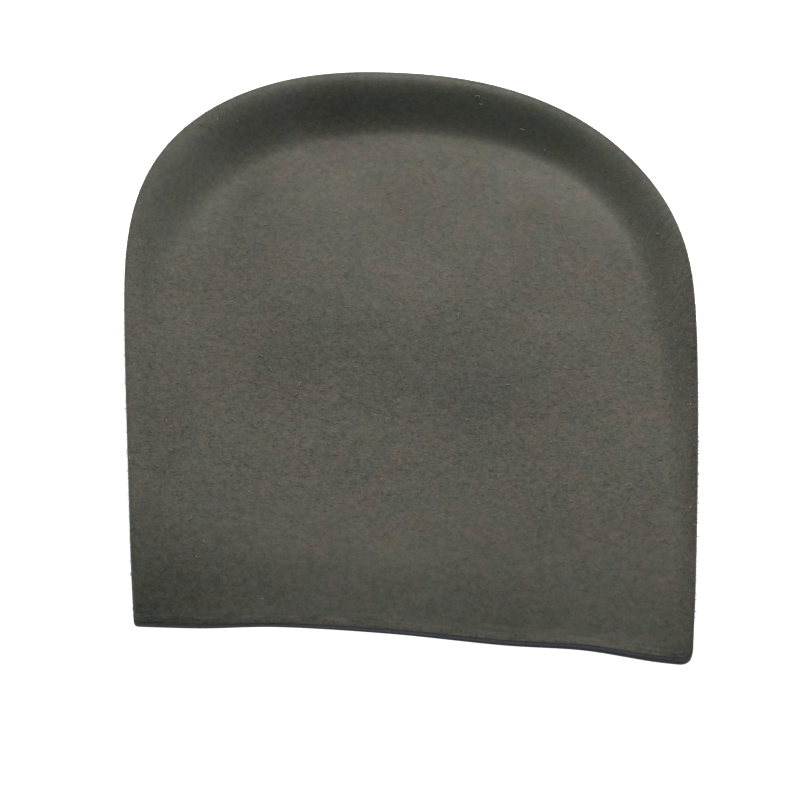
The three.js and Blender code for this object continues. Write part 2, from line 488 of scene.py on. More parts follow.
    def layer(self, insets: Sequence[float], shares: Sequence[float], depth: float,
              steps: Steps) -> list[np.ndarray]:
        """Rings of a layer that lies the given depth below the upper face.

        Args:
            insets: distances of the outer rings from the edge, outermost first.
            shares: sizes of the inner rings, as shares of the last outer one.
            depth: how far below the upper face the layer lies.
            steps: how finely each ring is divided.

        Returns:
            The points of each ring, edge first.
        """
        outer = [self.ring(inset, steps) for inset in insets]
        inner = [self.shrunk(outer[-1], share) for share in shares]
        rings = (*outer, *inner)
        return [np.column_stack([ring[:, :2], self.layer_height(ring, depth)]) for ring in rings]


def new_piece(name: str, vertices: np.ndarray, faces: Sequence[Sequence[int]]) -> bpy.types.Object:
    """Make a smooth-shaded mesh object in the scene.

    Args:
        name: the object's name.
        vertices: its points, in millimetres.
        faces: the numbers of each face's points.

    Returns:
        The new object.
    """
    mesh = bpy.data.meshes.new(name)
    mesh.from_pydata((vertices * MM).tolist(), [], faces)
    mesh.polygons.foreach_set("use_smooth", np.ones(len(faces), bool))
    mesh.update()
    piece = bpy.data.objects.new(name, mesh)
    bpy.context.scene.collection.objects.link(piece)
    return piece


def lofted_piece(name: str, first: np.ndarray, rings: Sequence[np.ndarray],
                 last: np.ndarray) -> bpy.types.Object:
    """Make a closed mesh object through rings of equal count.

    Args:
        name: the object's name.
        first: middle point that the first ring closes on, in millimetres.
        rings: arrays of points, in millimetres.
        last: middle point that the last ring closes on.

    Returns:
        The new object.
    """
    count = len(rings[0])
    vertices = np.vstack([first, *rings, last])
    step = np.arange(count)
    after = (step + 1) % count
    faces: list[tuple[int, ...]] = [(0, 1 + int(a), 1 + int(b)) for a, b in zip(step, after)]
    for row in range(len(rings) - 1):
        near, far = 1 + row * count, 1 + (row + 1) * count
        quads = np.stack([near + step, far + step, far + after, near + after], axis=1)
        faces.extend(map(tuple, quads.tolist()))
    end, base = len(vertices) - 1, 1 + (len(rings) - 1) * count
    faces.extend((end, base + int(b), base + int(a)) for a, b in zip(step, after))
    return new_piece(name, vertices, faces)


def store(piece: bpy.types.Object, name: str, values: np.ndarray) -> None:
    """Keep one number per vertex on a piece, for its material to read."""
    layer = piece.data.attributes.new(name, "FLOAT", "POINT")
    layer.data.foreach_set("value", np.asarray(values, np.float32))


def relief(points: np.ndarray, wavelength: float, seed: float) -> np.ndarray:
    """Return a smooth random height, about -1 to 1, at each point in millimetres."""
    scaled = points / wavelength
    return np.array([noise.noise(Vector((x, y, z + seed))) for x, y, z in scaled.tolist()])


class Mottle(NamedTuple):
    """A fractal noise: how far apart its largest features lie, in millimetres, and how fine it gets."""

    size: float
    detail: float = 2.0
    rough: float = 0.5


class Wire:
    """A value in a shader. Python's operators on it add Math nodes."""

    def __init__(self, paint: "Paint", socket: bpy.types.NodeSocket) -> None:
        """Wrap an output socket of a paint's node tree."""
        self.paint = paint
        self.socket = socket

    def math(self, operation: str, first: Number, second: Number) -> "Wire":
        """Return the result of a Math node on two values."""
        made = self.paint.node("ShaderNodeMath", {"operation": operation}, {0: first, 1: second})
        return made.out("Value")

    def __add__(self, other: Number) -> "Wire":
        """Return self + other."""
        return self.math("ADD", self, other)

    def __sub__(self, other: Number) -> "Wire":
        """Return self - other."""
        return self.math("SUBTRACT", self, other)

    def __rsub__(self, other: Number) -> "Wire":
        """Return other - self."""
        return self.math("SUBTRACT", other, self)

    def __mul__(self, other: Number) -> "Wire":
        """Return self * other."""
        return self.math("MULTIPLY", self, other)

    __radd__ = __add__
    __rmul__ = __mul__

    def step(self, low: float, high: float) -> "Wire":
        """Ease the value into a step.

        Args:
            low: where the step starts.
            high: where it is complete.

        Returns:
            A value from 0 to 1.
        """
        sockets = {"Value": self, "From Min": low, "From Max": high}
        made = self.paint.node("ShaderNodeMapRange", {"interpolation_type": "SMOOTHSTEP"}, sockets)
        return made.out("Result")


class Made(NamedTuple):
    """A node that a paint has made."""

    paint: "Paint"
    node: bpy.types.Node

    def out(self, socket: Union[str, int]) -> Wire:
        """Return one of the node's outputs as a wire."""
        return Wire(self.paint, self.node.outputs[socket])


class Paint:
    """A procedural material, built node by node round one Principled shader."""

    def __init__(self, name: str) -> None:
        """Start a material with its shader joined to the output.

        Args:
            name: the material's name.
        """
        self.material = bpy.data.materials.new(name)
        self.material.use_nodes = True
        self.tree = self.material.node_tree
        self.tree.nodes.clear()
        self.shader = self.node("ShaderNodeBsdfPrincipled", {}, {})
        self.node("ShaderNodeOutputMaterial", {}, {"Surface": self.shader.out("BSDF")})

    def node(self, kind: str, settings: dict[str, Any], sockets: dict[Union[str, int], Any]) -> Made:
        """Add a node.

        Args:
            kind: the node's type.
            settings: its own settings, set first.
            sockets: the values or wires of its inputs, by name or number.

        Returns:
            The node, ready for its outputs to be read.
        """
        node = self.tree.nodes.new(kind)
        for key, value in settings.items():
            setattr(node, key, value)
        self.set(node, sockets)
        return Made(self, node)

    def set(self, node: bpy.types.Node, sockets: dict[Union[str, int], Any]) -> None:
        """Give a node's inputs their values or wires.

        Args:
            node: the node.
            sockets: the values or wires, by name or number of the input.
        """
        for key, value in sockets.items():
            if isinstance(value, Wire):
                self.tree.links.new(value.socket, node.inputs[key])
            else:
                node.inputs[key].default_value = value

    def finish(self, sockets: dict[str, Any]) -> None:
        """Set the Principled shader's inputs."""
        self.set(self.shader.node, sockets)

    def place(self) -> Wire:
        """Return the surface point in millimetres."""
        sockets = {0: self.node("ShaderNodeTexCoord", {}, {}).out("Object"), 1: (1 / MM, 1 / MM, 1 / MM)}
        return self.node("ShaderNodeVectorMath", {"operation": "MULTIPLY"}, sockets).out("Vector")

    def texture(self, point: Wire, mottle: Mottle) -> Made:
        """Add a noise texture.

        Args:
            point: where it is read, in millimetres.
            mottle: how coarse and how fine it is.

        Returns:
            The texture's node.
        """
        sockets = {
            "Vector": point,
            "Scale": 1 / mottle.size,
            "Detail": mottle.detail,
            "Roughness": mottle.rough,
        }
        return self.node("ShaderNodeTexNoise", {}, sockets)

    def noise(self, point: Wire, mottle: Mottle) -> Wire:
        """Return fractal noise, about 0 to 1."""
        return self.texture(point, mottle).out("Fac")

    def bent(self, point: Wire, reach: float, mottle: Mottle) -> Wire:
        """Move a point about by noise.

        Args:
            point: the point in millimetres.
            reach: about how far it moves at most.
            mottle: the noise that moves it.

        Returns:
            The moved point.
        """
        swirl = self.texture(point, mottle).out("Color")
        moved = {0: swirl, 1: (reach, reach, reach), 2: point}
        return self.node("ShaderNodeVectorMath", {"operation": "MULTIPLY_ADD"}, moved).out("Vector")

    def turned(self, point: Wire, turn: float, size: tuple[float, float, float]) -> Wire:
        """Return a point in a frame turned about the vertical, where the size counts as 1."""
        sockets = {"Vector": point, "Rotation": (0.0, 0.0, math.radians(turn)), "Scale": size}
        return self.node("ShaderNodeMapping", {"vector_type": "TEXTURE"}, sockets).out("Vector")

    def blend(self, factor: Number, first: Any, second: Any, mode: str = "MIX") -> Wire:
        """Return a colour mixed from two, each a colour or a wire."""
        settings = {"data_type": "RGBA", "blend_type": mode}
        return self.node("ShaderNodeMix", settings, {0: factor, 6: first, 7: second}).out(2)

    def grey(self, value: Wire) -> Wire:
        """Return a value as a grey colour."""
        sockets = {"Red": value, "Green": value, "Blue": value}
        return self.node("ShaderNodeCombineColor", {}, sockets).out("Color")

    def bump(self, height: Wire, strength: float, depth: float) -> Wire:
        """Return a normal for small bumps whose whole height has the depth in millimetres."""
        sockets = {"Height": height, "Strength": strength, "Distance": depth * MM}
        return self.node("ShaderNodeBump", {}, sockets).out("Normal")

    def stored(self, name: str) -> Wire:
        """Return a number kept on the mesh."""
        return self.node("ShaderNodeAttribute", {"attribute_name": name}, {}).out("Fac")


@dataclass(frozen=True)
class NappedCloth:
    """Finish of the cover: matt, brushed, suede-like cloth with a mottled grey-brown dye.

    Sizes are in millimetres. Each tone says how strongly a kind of unevenness lightens or darkens the dye.
    The pits are darkened as painted shade, and the mesh adds painted light and shade and a greener painted
    shade tint.
    """

    brown: Colour = (0.1148, 0.0982, 0.0818, 1.0)
    green: Colour = (0.0953, 0.0982, 0.0805, 1.0)
    olive: Colour = (1.0, 1.0, 0.935, 1.0)
    slate: Colour = (1.0, 1.0, 1.065, 1.0)
    smudge: Colour = (0.80, 0.82, 0.87, 1.0)
    rough: float = 0.95
    specular: float = 0.12
    sheen: float = 0.12
    sheen_rough: float = 0.5
    sheen_tint: Colour = (0.62, 0.6, 0.55, 1.0)
    streak_turns: tuple[float, ...] = (20.0, 95.0, 152.0)
    streak_size: tuple[float, float, float] = (1.0, 0.2, 0.3)
    streak_mottle: Mottle = Mottle(1.0, 1.5)
    streak_bend: float = 1.5
    streak_swirl: Mottle = Mottle(2.5, 1.0)
    brown_mottle: Mottle = Mottle(2.8, 3.0, 0.72)
    brown_step: tuple[float, float] = (0.3, 0.7)
    # Painted shade tint: how far it holds the brown back in shaded places.
    green_hold: float = 0.8
    slate_mottle: Mottle = Mottle(2.6, 3.0, 0.68)
    slate_step: tuple[float, float] = (0.28, 0.72)
    slate_drift: float = 3.0
    slate_swirl: Mottle = Mottle(40.0, 1.0)
    grain_mottle: Mottle = Mottle(0.26, 1.0, 0.6)
    tuft_mottle: Mottle = Mottle(0.7, 2.0, 0.6)
    cloud_mottle: Mottle = Mottle(9.0)
    pit_mottle: Mottle = Mottle(0.5, 1.0)
    pit_share: float = 0.6
    pit_step: tuple[float, float] = (0.6, 0.72)
    base_tone: float = 0.49
    grain_tone: float = 0.74
    streak_tone: float = 1.1
    tuft_tone: float = 0.68
    cloud_tone: float = 0.36
    # Painted shade: how much darker the nap's small pits are drawn.
    pit_tone: float = 0.2
    grain_height: float = 0.3
    streak_height: float = 0.9
    tuft_height: float = 0.5
    pit_height: float = 0.25
    bump_strength: float = 0.5
    bump_depth: float = 0.15

    def streaks(self, paint: Paint, here: Wire) -> Wire:
        """Brushed fibres, as fine curving streaks that cross at several angles.

        Args:
            paint: the material that is being built.
            here: the surface point in millimetres.

        Returns:
            Their height, about 0 to 1.
        """
        bent = paint.bent(here, self.streak_bend, self.streak_swirl)
        layers = [paint.noise(paint.turned(bent, turn, self.streak_size), self.streak_mottle)
                  for turn in self.streak_turns]
        return (layers[0] + layers[1] + layers[2]) * (1 / len(layers))

    def dye(self, paint: Paint, here: Wire) -> Wire:
        """Mottle the dye: brown or green patches, each a little olive or slate, greener where painted
        shade tint is stored.

        Args:
            paint: the material that is being built.
            here: the surface point in millimetres.

        Returns:
            The dye's colour.
        """
        brown = paint.noise(here, self.brown_mottle).step(*self.brown_step)
        # Painted shade tint: where the mesh holds it, less brown shows, so shaded places look greener.
        warm = brown * (1 - paint.stored("green") * self.green_hold)
        drifted = paint.bent(here, self.slate_drift, self.slate_swirl)
        cool = paint.noise(drifted, self.slate_mottle).step(*self.slate_step)
        mottled = paint.blend(warm, self.green, self.brown)
        return paint.blend(1.0, mottled, paint.blend(cool, self.olive, self.slate), "MULTIPLY")

    def paint(self) -> bpy.types.Material:
        """Build the cloth's nodes.

        Returns:
            The cloth's material.
        """
        paint = Paint("napped_cloth")
        here = paint.place()
        streaks = self.streaks(paint, here)
        grain = paint.noise(here, self.grain_mottle)
        tufts = paint.noise(here, self.tuft_mottle)
        clouds = paint.noise(here, self.cloud_mottle)
        pitted = paint.noise(here, self.pit_mottle) * self.pit_share + tufts * (1 - self.pit_share)
        pits = pitted.step(*self.pit_step)
        nap = paint.stored("nap")
        fine = (grain - NOISE_MEAN) * self.grain_tone + (streaks - NOISE_MEAN) * self.streak_tone
        tone = self.base_tone + fine * nap + tufts * self.tuft_tone + clouds * self.cloud_tone
        # Painted light and shade stored on the mesh is added to the tone, and the pits get painted shade.
        tone_with_painted_light = (tone + paint.stored("lift")) * (1 - pits * nap * self.pit_tone)
        dyed = paint.blend(1.0, self.dye(paint, here), paint.grey(tone_with_painted_light), "MULTIPLY")
        marked = paint.blend(1.0, dyed, self.smudge, "MULTIPLY")
        raised = streaks * self.streak_height + tufts * self.tuft_height + grain * self.grain_height
        height = (raised - pits * self.pit_height) * nap
        paint.finish({
            "Base Color": paint.blend(paint.stored("smudge"), dyed, marked),
            "Roughness": self.rough,
            "Specular IOR Level": self.specular,
            "Sheen Weight": self.sheen,
            "Sheen Roughness": self.sheen_rough,
            "Sheen Tint": self.sheen_tint,
            "Normal": paint.bump(height, self.bump_strength, self.bump_depth),
        })
        return paint.material


@dataclass(frozen=True)
class MouldedGel:
    """Finish of the gel: dark navy, satin, slightly uneven from its mould, with lint at the seam and
    painted light where the cover's edge shades it.
    """

    colour: Colour = (0.0104, 0.0105, 0.0182, 1.0)
    dusty: Colour = (0.03, 0.03, 0.038, 1.0)
    # Lint and painted light at the seam: a lighter colour where the cover's edge shades the gel.
    linty: Colour = (0.12, 0.11, 0.123, 1.0)
    rough: float = 0.4
    specular: float = 0.13
    cloud_mottle: Mottle = Mottle(6.0, 3.0)
    cloud_rough: float = 0.1
    dust_mottle: Mottle = Mottle(0.5, 4.0, 0.65)
    dust_share: float = 0.7
    dust_step: tuple[float, float] = (0.55, 0.75)
    dust_cover: float = 0.5
    dust_rough: float = 0.25
    lint_mottle: Mottle = Mottle(0.4)
    lint_step: tuple[float, float] = (0.1, 0.5)
    ripple_mottle: Mottle = Mottle(2.2)
    ripple_height: float = 0.7
    grain_mottle: Mottle = Mottle(0.25)
    grain_height: float = 0.2
    bump_strength: float = 0.35
    bump_depth: float = 0.1

    def paint(self) -> bpy.types.Material:
        """Build the gel's nodes.

        Returns:
            The gel's material.
        """
        paint = Paint("moulded_gel")
        here = paint.place()
        cloud = paint.noise(here, self.cloud_mottle)
        dust = paint.noise(here, self.dust_mottle)
        mask = (dust * self.dust_share + cloud * (1 - self.dust_share)).step(*self.dust_step)
        bare = paint.blend(mask * self.dust_cover, self.colour, self.dusty)
        # Lint and painted light at the seam, broken up by noise.
        lint = paint.stored("lint") * paint.noise(here, self.lint_mottle).step(*self.lint_step)
        height = paint.noise(here, self.ripple_mottle) * self.ripple_height
        height += paint.noise(here, self.grain_mottle) * self.grain_height
        paint.finish({
            "Base Color": paint.blend(lint, bare, self.linty),
            "Roughness": self.rough + mask * self.dust_rough + cloud * self.cloud_rough,
            "Specular IOR Level": self.specular,
            "Normal": paint.bump(height, self.bump_strength, self.bump_depth),
        })
        return paint.material


@dataclass(frozen=True)
class FibreFinish:
    """Finish of single fibres: dull, in one of the cloth's tones."""

    name: str
    colour: Colour
    rough: float = 0.9
    specular: float = 0.12
    sheen: float = 0.2

    def paint(self) -> bpy.types.Material:
        """Build the fibres' shader.

        Returns:
            The fibres' material.
        """
        paint = Paint(self.name)
        paint.finish({
            "Base Color": self.colour,
            "Roughness": self.rough,
            "Specular IOR Level": self.specular,
            "Sheen Weight": self.sheen,
        })
        return paint.material


class Tuft(NamedTuple):
    """A kind of fibre: how many, which finish, and ranges of length, thickness, rise and curl."""

    count: int
    finish: int
    length: tuple[float, float]
    thickness: tuple[float, float]
    rise: tuple[float, float]
    curl: tuple[float, float]


@dataclass
class RaisedFibres:
    """Fibre ends that stand out of the cover: fine ones, pale specks and curls, and an edge fringe."""

    seed: int = 23
    points: int = 7
    sides: int = 3
    sunk: float = 0.02
    blunt: float = 0.08
    scatter: float = 0.4
    lean: float = 0.5
    fewest: float = 0.25
    thickest: tuple[float, float] = (-24.0, 10.0)
    thickest_ease: float = 16.0
    lying: tuple[Tuft, ...] = (
        Tuft(1100, 0, (0.5, 1.1), (0.03, 0.042), (0.03, 0.1), (-1.2, 1.2)),
        Tuft(260, 1, (0.4, 0.8), (0.03, 0.042), (0.03, 0.08), (-1.2, 1.2)),
        Tuft(45, 2, (0.2, 0.45), (0.06, 0.085), (0.06, 0.12), (-2.0, 2.0)),
        Tuft(34, 2, (0.5, 1.0), (0.055, 0.075), (0.08, 0.18), (-3.0, 3.0)),
        Tuft(6, 2, (0.9, 1.8), (0.05, 0.065), (0.1, 0.2), (4.0, 6.0)),
    )
    fringe: tuple[Tuft, ...] = (
        Tuft(1500, 1, (0.1, 0.26), (0.03, 0.045), (-0.1, 0.1), (-0.8, 0.8)),
        Tuft(120, 0, (0.15, 0.36), (0.028, 0.04), (-0.1, 0.1), (-1.0, 1.0)),
    )
    finishes: tuple[FibreFinish, ...] = (
        FibreFinish("fibre_light", (0.155, 0.145, 0.125, 1.0)),
        FibreFinish("fibre_dark", (0.085, 0.08, 0.07, 1.0)),
        FibreFinish("fibre_pale", (0.37, 0.37, 0.35, 1.0)),
    )
    name: str = "raised_fibres"

    def lying_paths(self, tuft: Tuft, cover: bpy.types.Object, upper_faces: int,
                    draw: np.random.Generator) -> tuple[np.ndarray, np.ndarray]:
        """Lay fibres on the cover's upper face.

        Args:
            tuft: the kind of fibre.
            cover: the cover, with its mesh in metres.
            upper_faces: how many of its first faces make the upper face.
            draw: source of random numbers.

        Returns:
            Points of each fibre, in millimetres, and the upright direction at each point.
        """
        mesh = cover.data
        areas, centres = np.empty(len(mesh.polygons)), np.empty(len(mesh.polygons) * 3)
        mesh.polygons.foreach_get("area", areas)
        mesh.polygons.foreach_get("center", centres)
        centres = centres.reshape(-1, 3)[:upper_faces] / MM
        density = self.fewest + span(centres[:, 1], *self.thickest, self.thickest_ease)
        chance = areas[:upper_faces] * density
        roots = centres[draw.choice(upper_faces, tuft.count, p=chance / chance.sum())]
        roots[:, :2] += draw.uniform(-self.scatter, self.scatter, (tuft.count, 2))
        along = np.linspace(0, 1, self.points)
        length, rise, curl = (draw.uniform(*size, tuft.count)[:, None]
                              for size in (tuft.length, tuft.rise, tuft.curl))
        heading = draw.uniform(0, 2 * math.pi, tuft.count)[:, None] + curl * along
        stride = length / (self.points - 1)
        plan = np.stack([np.cumsum(stride * np.cos(heading), axis=1),
                         np.cumsum(stride * np.sin(heading), axis=1), np.zeros_like(heading)], axis=2)
        surface = BVHTree.FromPolygons([v.co for v in mesh.vertices],
                                       [tuple(face.vertices) for face in mesh.polygons[:upper_faces]])
        seats, ups = [], []
        for point in (roots[:, None] + plan).reshape(-1, 3) * MM:
            seat, up, _, _ = surface.find_nearest(Vector(point))
            seats.append(seat)
            ups.append(up)
        shape = (tuft.count, self.points, 3)
        seats, ups = np.array(seats).reshape(shape) / MM, np.array(ups).reshape(shape)
        height = rise * np.sin(math.pi * along) - self.sunk
        return seats + ups * height[:, :, None], ups

    def fringe_paths(self, tuft: Tuft, cover: bpy.types.Object, edge: range,
                     draw: np.random.Generator) -> tuple[np.ndarray, np.ndarray]:
        """Let fibres stand out of the cover's cut edge.

        Args:
            tuft: the kind of fibre.
            cover: the cover, with its mesh in metres.
            edge: the numbers of the cut edge's vertices.
            draw: source of random numbers.

        Returns:
            Points of each fibre, in millimetres, and the upright direction at each point.
        """
        picked = [cover.data.vertices[int(n)] for n in draw.choice(edge, tuft.count)]
        roots = np.array([v.co for v in picked])[:, None] / MM
        out = np.array([v.normal for v in picked])[:, None]
        along = np.linspace(0, 1, self.points)[None, :, None]
        length, rise, curl = (draw.uniform(*size, tuft.count)[:, None, None]
                              for size in (tuft.length, tuft.rise, tuft.curl))
        aside = np.cross(out, (0.0, 0.0, 1.0))
        lean = draw.normal(0, self.lean, tuft.count)[:, None, None]
        reach = length * (along * (out + aside * lean) + aside * curl * along ** 2 / 2)
        upright = np.broadcast_to((0.0, 0.0, 1.0), reach.shape)
        return roots - out * self.sunk + reach + upright * rise * along ** 2, upright

    def tubes(self, paths: np.ndarray, ups: np.ndarray,
              thickness: np.ndarray) -> tuple[np.ndarray, np.ndarray]:
        """Make closed tapering tubes along paths.

        Args:
            paths: points of each fibre.
            ups: upright direction at each point.
            thickness: each fibre's thickness.

        Returns:
            The vertices, and the faces as triangles.
        """
        count, points, _ = paths.shape
        ahead = np.gradient(paths, axis=1)
        side = np.cross(ahead, ups)
        side /= np.linalg.norm(side, axis=2, keepdims=True) + TINY
        over = np.cross(side, ahead)
        over /= np.linalg.norm(over, axis=2, keepdims=True) + TINY
        turn = np.arange(self.sides) * 2 * math.pi / self.sides
        taper = np.sqrt(np.sin(math.pi * np.linspace(self.blunt, 1 - self.blunt, points)))
        radius = (thickness[:, None] / 2 * taper)[:, 1:-1, None, None]
        around = (side[:, 1:-1, None] * np.cos(turn)[:, None]
                  + over[:, 1:-1, None] * np.sin(turn)[:, None])
        rings = points - 2
        wall = (paths[:, 1:-1, None] + radius * around).reshape(count, rings * self.sides, 3)
        vertices = np.concatenate([paths[:, :1], wall, paths[:, -1:]], axis=1)
        here = np.arange(self.sides)
        after = (here + 1) % self.sides
        faces = [np.stack([np.zeros_like(here), 1 + after, 1 + here], axis=1)]
        for row in range(rings - 1):
            near, far = 1 + row * self.sides, 1 + (row + 1) * self.sides
            faces.append(np.stack([near + here, near + after, far + after], axis=1))
            faces.append(np.stack([near + here, far + after, far + here], axis=1))
        base, tip = 1 + (rings - 1) * self.sides, 1 + rings * self.sides
        faces.append(np.stack([np.full_like(here, tip), base + here, base + after], axis=1))
        starts = np.arange(count)[:, None, None] * (tip + 1)
        return vertices.reshape(-1, 3), (np.vstack(faces)[None] + starts).reshape(-1, 3)

    def build(self, cover: bpy.types.Object, upper_faces: int, edge: range) -> bpy.types.Object:
        """Make the fibres, dress them and place them on the frame.

        Args:
            cover: the cover that they stand on.
            upper_faces: how many of its first faces make the upper face.
            edge: the numbers of its cut edge's vertices.

        Returns:
            The finished piece.
        """
        draw = np.random.default_rng(self.seed)
        laid = [(tuft, self.lying_paths(tuft, cover, upper_faces, draw)) for tuft in self.lying]
        laid += [(tuft, self.fringe_paths(tuft, cover, edge, draw)) for tuft in self.fringe]
        vertices, faces, finishes, total = [], [], [], 0
        for tuft, (paths, ups) in laid:
            points, triangles = self.tubes(paths, ups, draw.uniform(*tuft.thickness, tuft.count))
            vertices.append(points)
            faces.append(triangles + total)
            finishes.append(np.full(len(triangles), tuft.finish))
            total += len(points)
        piece = new_piece(self.name, np.vstack(vertices), np.vstack(faces).tolist())
        for finish in self.finishes:
            piece.data.materials.append(finish.paint())
        piece.data.polygons.foreach_set("material_index", np.concatenate(finishes))
        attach(piece, BODY)
        return piece


@dataclass(frozen=True)
class PaintedFrontLight:
    """Painted light and shade at the nap's front edge: a painted highlight where it rolls over and painted
    shade down its cut.
    """

    to_left: Ease = Ease(6.0, -12.0)
    to_right: Ease = Ease(4.0, 14.0)
    to_corner: Ease = Ease(24.0, 5.0)
    to_front: Ease = Ease(-32.0, -5.0)
    off_sides: Ease = Ease(1.0, 3.0)
    over_edge: Ease = Ease(0.8, -0.32)
    behind_edge: Ease = Ease(2.6, -1.2)
    down_cut: Ease = Ease(0.0, 0.35)
    cut_waves: Wave = Wave(0.22, 2.2, 5.0)
    # Painted highlight where lifted and painted shade where dropped, on the roll and down the cut; the
    # corner drop is painted shade at the right front corner.
    right_lift: float = 0.11
    corner_drop: float = 0.42
    roll_lift: float = 0.28
    roll_left_drop: float = 0.06
    behind_drop: float = 0.05
    behind_left_lift: float = 0.09
    cut_lift: float = 0.22
    cut_left_drop: float = 0.09
    cut_drop: float = 0.4
    foot_drop: float = 0.36

    def lift(self, points: np.ndarray, depth: np.ndarray) -> np.ndarray:
        """Work out the painted light and shade on the nap's front roll and cut edge.

        Args:
            points: ring points of the upper face and the cut edge.
            depth: how far down the cut edge each point lies, from 0 to 1.

        Returns:
            The painted light for each point, negative where it is painted shade.
        """
        across, along, side_inset, front_inset = points.T
        left = self.to_left.at(across)
        corner = self.to_corner.at(across) * self.to_front.at(along)
        right = self.right_lift * self.to_right.at(across) - self.corner_drop * corner
        near = self.over_edge.at(front_inset)
        behind = self.behind_edge.at(front_inset) * (1 - near)
        roll = (self.roll_lift + right - self.roll_left_drop * left) * near
        roll += (self.behind_left_lift * left - self.behind_drop) * behind
        on_cut = depth > 0
        down = depth.copy()
        down[on_cut] += self.cut_waves.at(np.column_stack([across, along, depth])[on_cut])
        cut = self.cut_lift + right - self.cut_left_drop * left
        cut -= self.cut_drop * self.down_cut.at(down) + self.foot_drop * down ** 3
        return np.where(on_cut, cut, roll * self.off_sides.at(side_inset))


@dataclass
class ClothCover:
    """The napped cloth over the dish, with its own cut edge."""

    form: PadForm
    finish: NappedCloth = NappedCloth()
    fibres: RaisedFibres = field(default_factory=RaisedFibres)
    front_shade: PaintedFrontLight = PaintedFrontLight()
    thickness: float = 1.1
    setback: float = 0.15
    edge_round: float = 0.28
    edge_angles: tuple[float, ...] = tuple(np.radians((65, 46, 27, 8, -12, -32, -52, -70, -82)))
    lower_squareness: float = 0.15
    shallowest_cut: float = 0.02
    fringed_rings: tuple[int, int] = (2, 6)
    crest_inset: float = 2.0
    foot_inset: float = 9.5
    crest_rings: int = 7
    slope_rings: int = 28
    floor_rings: int = 34
    floor_shares: tuple[float, float] = (0.96, 0.03)
    lower_insets: tuple[float, ...] = (0.7, 1.2, 2.0, 3.0, 4.0, 5.0, 6.0, 7.2, 9.5)
    lower_shares: tuple[float, ...] = (0.7, 0.4, 0.1)
    unevenness: tuple[Wave, ...] = (Wave(0.035, 4.0, 3.0), Wave(0.02, 1.4, 9.0))
    flat_size: tuple[float, float] = (66.0, 83.0)
    flat_area: float = 4780.0
    # Painted light and shade: soft patches that lighten the nap where positive and darken it where
    # negative, such as painted shade at the left front corner and painted light inside the right of the
    # heel rim.
    patches: tuple[Patch, ...] = (
        Patch(2.0, -4.5, 17.0, 8.0, -0.15),
        Patch(9.0, -11.5, 7.0, 3.0, -0.13),
        Patch(-9.0, -25.0, 11.0, 13.0, 0.12),
        Patch(20.0, -10.0, 9.0, 14.0, 0.07),
        Patch(-20.0, 12.0, 6.0, 12.0, -0.09),
        Patch(23.0, 28.0, 7.0, 6.0, 0.18),
        Patch(-25.0, -34.0, 12.0, 9.0, -0.12),
        Patch(-29.0, -36.0, 10.0, 9.5, -0.2),
        Patch(-21.0, -38.0, 13.0, 2.8, -0.18),
        Patch(17.0, -36.5, 9.0, 5.0, 0.08),
        Patch(10.5, -39.0, 5.0, 3.0, -0.1),
        Patch(5.0, 34.5, 6.0, 3.0, 0.15),
        Patch(-8.0, 34.5, 4.0, 4.0, -0.14),
        Patch(-20.0, 27.0, 5.0, 7.0, -0.16),
        Patch(-14.0, -1.0, 5.0, 9.0, -0.08),
        Patch(-24.0, -29.5, 9.0, 4.5, -0.1),
        Patch(-20.0, -15.5, 2.5, 9.0, 0.08),
        Patch(-4.2, -14.3, 4.0, 2.5, 0.09),
        Patch(25.5, -14.0, 4.0, 10.0, 0.07),
        Patch(-26.0, 22.0, 4.5, 4.5, 0.1),
        Patch(-19.3, 23.0, 2.5, 2.5, -0.1),
        Patch(-11.0, 32.4, 3.0, 2.5, -0.11),
        Patch(1.5, 36.0, 4.0, 3.0, 0.1),
    )
    # Painted light and shade along the rim and sides: painted highlights at the foot of the heel rim, just
    # inside its crest and along parts of the sides, and painted shade along the outer crest, the right
    # edge and down the side slopes.
    bands: tuple[Band, ...] = (
        Band(7.4, 2.4, 18.0, WHOLE, -WHOLE, WHOLE, 0.13),
        Band(0.3, 1.1, 18.0, WHOLE, -WHOLE, 14.0, -0.1),
        Band(0.4, 1.2, 22.0, WHOLE, 14.0, WHOLE, -0.4),
        Band(0.3, 1.1, 18.0, WHOLE, 4.0, 14.0, -0.16),
        Band(1.9, 0.8, 18.0, WHOLE, -7.0, WHOLE, 0.12),
        Band(2.5, 1.0, 18.0, WHOLE, 10.0, WHOLE, 0.1),
        Band(2.4, 1.6, -11.0, 16.0, -WHOLE, 0.0, -0.04),
        Band(2.4, 1.6, -11.0, 16.0, 0.0, WHOLE, -0.16),
        Band(4.4, 1.7, 13.0, WHOLE, 7.0, WHOLE, 0.28),
        Band(0.4, 1.4, -WHOLE, 15.0, -WHOLE, -5.0, 0.06),
        Band(0.3, 1.1, -33.0, 10.0, 5.0, WHOLE, -0.3),
        Band(2.6, 1.4, -30.0, -5.0, 5.0, WHOLE, 0.08),
    )
    # Painted shade tint: shaded places such as the left front corner are dyed greener.
    green_patches: tuple[Patch, ...] = (
        Patch(-25.0, -32.0, 13.0, 13.0, 0.6),
        Patch(-22.0, 20.0, 8.0, 9.0, 0.5),
        Patch(2.0, -4.0, 13.0, 6.0, 0.45),
        Patch(18.0, -38.0, 22.0, 6.0, 0.5),
    )
    mark: Patch = Patch(9.5, -7.5, 6.5, 3.4, 0.6)
    raised_nap: Patch = Patch(0.0, -16.0, 30.0, 8.0, 0.2)
    front_flattening: float = 0.34
    front_flat: Ease = Ease(-20.0, -10.0)
    heel_flattening: float = 0.48
    heel_flat: Ease = Ease(6.0, 16.0)
